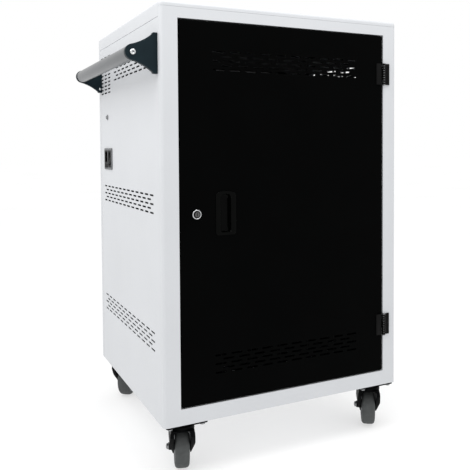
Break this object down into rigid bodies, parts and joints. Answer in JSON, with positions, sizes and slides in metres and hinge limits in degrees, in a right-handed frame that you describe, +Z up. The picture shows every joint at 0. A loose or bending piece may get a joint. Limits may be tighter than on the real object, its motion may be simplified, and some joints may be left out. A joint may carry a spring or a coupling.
{
  "type": "laptop charging cart",
  "caption": "Rolling steel cabinet that locks, charges and airs laptops in upright bays, with a front and a rear door, a push handle, a power inlet and swivel casters.",
  "frame": {"origin": "on the floor, under the centre of the cabinet", "axes": "+Z up, +X to the right as seen facing the front door, +Y from the front door to the rear door"},
  "size_m": [0.7577, 0.6326, 1.11],
  "materials": {
    "white_paint": "fine-textured powder coat",
    "black_paint": "satin powder coat",
    "divider_coating": "dipped plastic coating on sheet steel",
    "black_plastic": "moulded, fine grain",
    "grey_plastic": "moulded, fine grain",
    "grey_rubber": "smooth thermoplastic rubber",
    "aluminium": "satin anodised",
    "chrome": "polished plate",
    "zinc_steel": "bright zinc plate"
  },
  "bodies": {
    "cabinet": {"top_cover": "white_paint", "left_side_panel": "white_paint", "right_side_panel": "white_paint", "front_frame": "white_paint", "rear_frame": "white_paint", "base_pan": "white_paint", "lower_shelf": "white_paint", "middle_shelf": "white_paint", "upper_shelf": "white_paint", "lower_dividers": "divider_coating", "middle_dividers": "divider_coating", "upper_dividers": "divider_coating", "cable_partition": "white_paint", "power_strips": "black_plastic", "inlet_housing": "black_plastic", "inlet_pins": "zinc_steel", "fuse_drawer": "black_plastic", "breaker_collar": "grey_plastic", "fan_frame": "black_plastic", "front_handle_bracket": "black_plastic", "rear_handle_bracket": "black_plastic", "push_handle_tube": "aluminium", "handle_screws": "zinc_steel", "frame_hinge_leaves": "black_paint", "hinge_pins": "zinc_steel", "caster_plates": "black_paint", "caster_bolts": "zinc_steel"},
    "front_door": {"front_door": "black_paint", "door_pull": "black_plastic", "front_door_hinge_leaves": "black_paint", "front_lock_housing": "chrome"},
    "front_lock": {"front_lock_plug": "chrome", "front_lock_cam": "zinc_steel"},
    "rear_door": {"rear_door": "white_paint", "rear_door_hinge_leaves": "black_paint", "rear_lock_housing": "chrome"},
    "rear_lock": {"rear_lock_plug": "chrome", "rear_lock_cam": "zinc_steel"},
    "rocker_switch": {"rocker_switch": "black_plastic"},
    "breaker_button": {"breaker_button": "grey_plastic"},
    "fan_rotor": {"fan_rotor": "black_plastic"},
    "front_left_fork": {"front_left_caster_fork": "black_plastic", "front_left_wheel_axle": "zinc_steel"},
    "front_left_wheel": {"front_left_wheel_core": "grey_plastic", "front_left_wheel_tread": "grey_rubber"},
    "front_left_brake": {"front_left_brake_pedal": "black_plastic"},
    "front_right_fork": {"front_right_caster_fork": "black_plastic", "front_right_wheel_axle": "zinc_steel"},
    "front_right_wheel": {"front_right_wheel_core": "grey_plastic", "front_right_wheel_tread": "grey_rubber"},
    "front_right_brake": {"front_right_brake_pedal": "black_plastic"},
    "rear_left_fork": {"rear_left_caster_fork": "black_plastic", "rear_left_wheel_axle": "zinc_steel"},
    "rear_left_wheel": {"rear_left_wheel_core": "grey_plastic", "rear_left_wheel_tread": "grey_rubber"},
    "rear_right_fork": {"rear_right_caster_fork": "black_plastic", "rear_right_wheel_axle": "zinc_steel"},
    "rear_right_wheel": {"rear_right_wheel_core": "grey_plastic", "rear_right_wheel_tread": "grey_rubber"}
  },
  "joints": [
    {"name": "front_door_hinge", "type": "hinge", "parent": "cabinet", "child": "front_door", "pos_m": [0.29025, -0.2999, 0.62], "axis": [0, 0, 1], "range_deg": [0, 175]},
    {"name": "rear_door_hinge", "type": "hinge", "parent": "cabinet", "child": "rear_door", "pos_m": [-0.29025, 0.2999, 0.62], "axis": [0, 0, 1], "range_deg": [0, 175]},
    {"name": "front_lock_turn", "type": "hinge", "parent": "front_door", "child": "front_lock", "pos_m": [-0.2485, -0.2945, 0.6205], "axis": [0, 1, 0], "range_deg": [0, 90]},
    {"name": "rear_lock_turn", "type": "hinge", "parent": "rear_door", "child": "rear_lock", "pos_m": [0.2485, 0.2945, 0.6205], "axis": [0, -1, 0], "range_deg": [0, 90]},
    {"name": "rocker_toggle", "type": "hinge", "parent": "cabinet", "child": "rocker_switch", "pos_m": [-0.3315, 0.163, 0.745], "axis": [0, 1, 0], "range_deg": [-16, 0]},
    {"name": "breaker_press", "type": "slide", "parent": "cabinet", "child": "breaker_button", "axis": [1, 0, 0], "range_m": [0, 0.003], "stiffness_N_per_m": 800},
    {"name": "fan_spin", "type": "hinge", "parent": "cabinet", "child": "fan_rotor", "pos_m": [-0.3335, 0.2075, 0.992], "axis": [1, 0, 0], "continuous": true},
    {"name": "front_left_swivel", "type": "hinge", "parent": "cabinet", "child": "front_left_fork", "pos_m": [-0.2745, -0.2535, 0.126], "axis": [0, 0, 1], "continuous": true},
    {"name": "front_left_roll", "type": "hinge", "parent": "front_left_fork", "child": "front_left_wheel", "pos_m": [-0.26631, -0.22672, 0.051], "axis": [0.9563, -0.2924, 0], "continuous": true},
    {"name": "front_left_brake_press", "type": "hinge", "parent": "front_left_fork", "child": "front_left_brake", "pos_m": [-0.25696, -0.19612, 0.098], "axis": [0.9563, -0.2924, 0], "range_deg": [-15, 0]},
    {"name": "front_right_swivel", "type": "hinge", "parent": "cabinet", "child": "front_right_fork", "pos_m": [0.2745, -0.2535, 0.126], "axis": [0, 0, 1], "continuous": true},
    {"name": "front_right_roll", "type": "hinge", "parent": "front_right_fork", "child": "front_right_wheel", "pos_m": [0.28975, -0.23002, 0.051], "axis": [0.8387, -0.5446, 0], "continuous": true},
    {"name": "front_right_brake_press", "type": "hinge", "parent": "front_right_fork", "child": "front_right_brake", "pos_m": [0.30718, -0.20318, 0.098], "axis": [0.8387, -0.5446, 0], "range_deg": [-15, 0]},
    {"name": "rear_left_swivel", "type": "hinge", "parent": "cabinet", "child": "rear_left_fork", "pos_m": [-0.2745, 0.2535, 0.126], "axis": [0, 0, 1], "continuous": true},
    {"name": "rear_left_roll", "type": "hinge", "parent": "rear_left_fork", "child": "rear_left_wheel", "pos_m": [-0.25804, 0.27615, 0.051], "axis": [0.809, -0.5878, 0], "continuous": true},
    {"name": "rear_right_swivel", "type": "hinge", "parent": "cabinet", "child": "rear_right_fork", "pos_m": [0.2745, 0.2535, 0.126], "axis": [0, 0, 1], "continuous": true},
    {"name": "rear_right_roll", "type": "hinge", "parent": "rear_right_fork", "child": "rear_right_wheel", "pos_m": [0.28892, 0.2775, 0.051], "axis": [0.8572, -0.515, 0], "continuous": true}
  ]
}
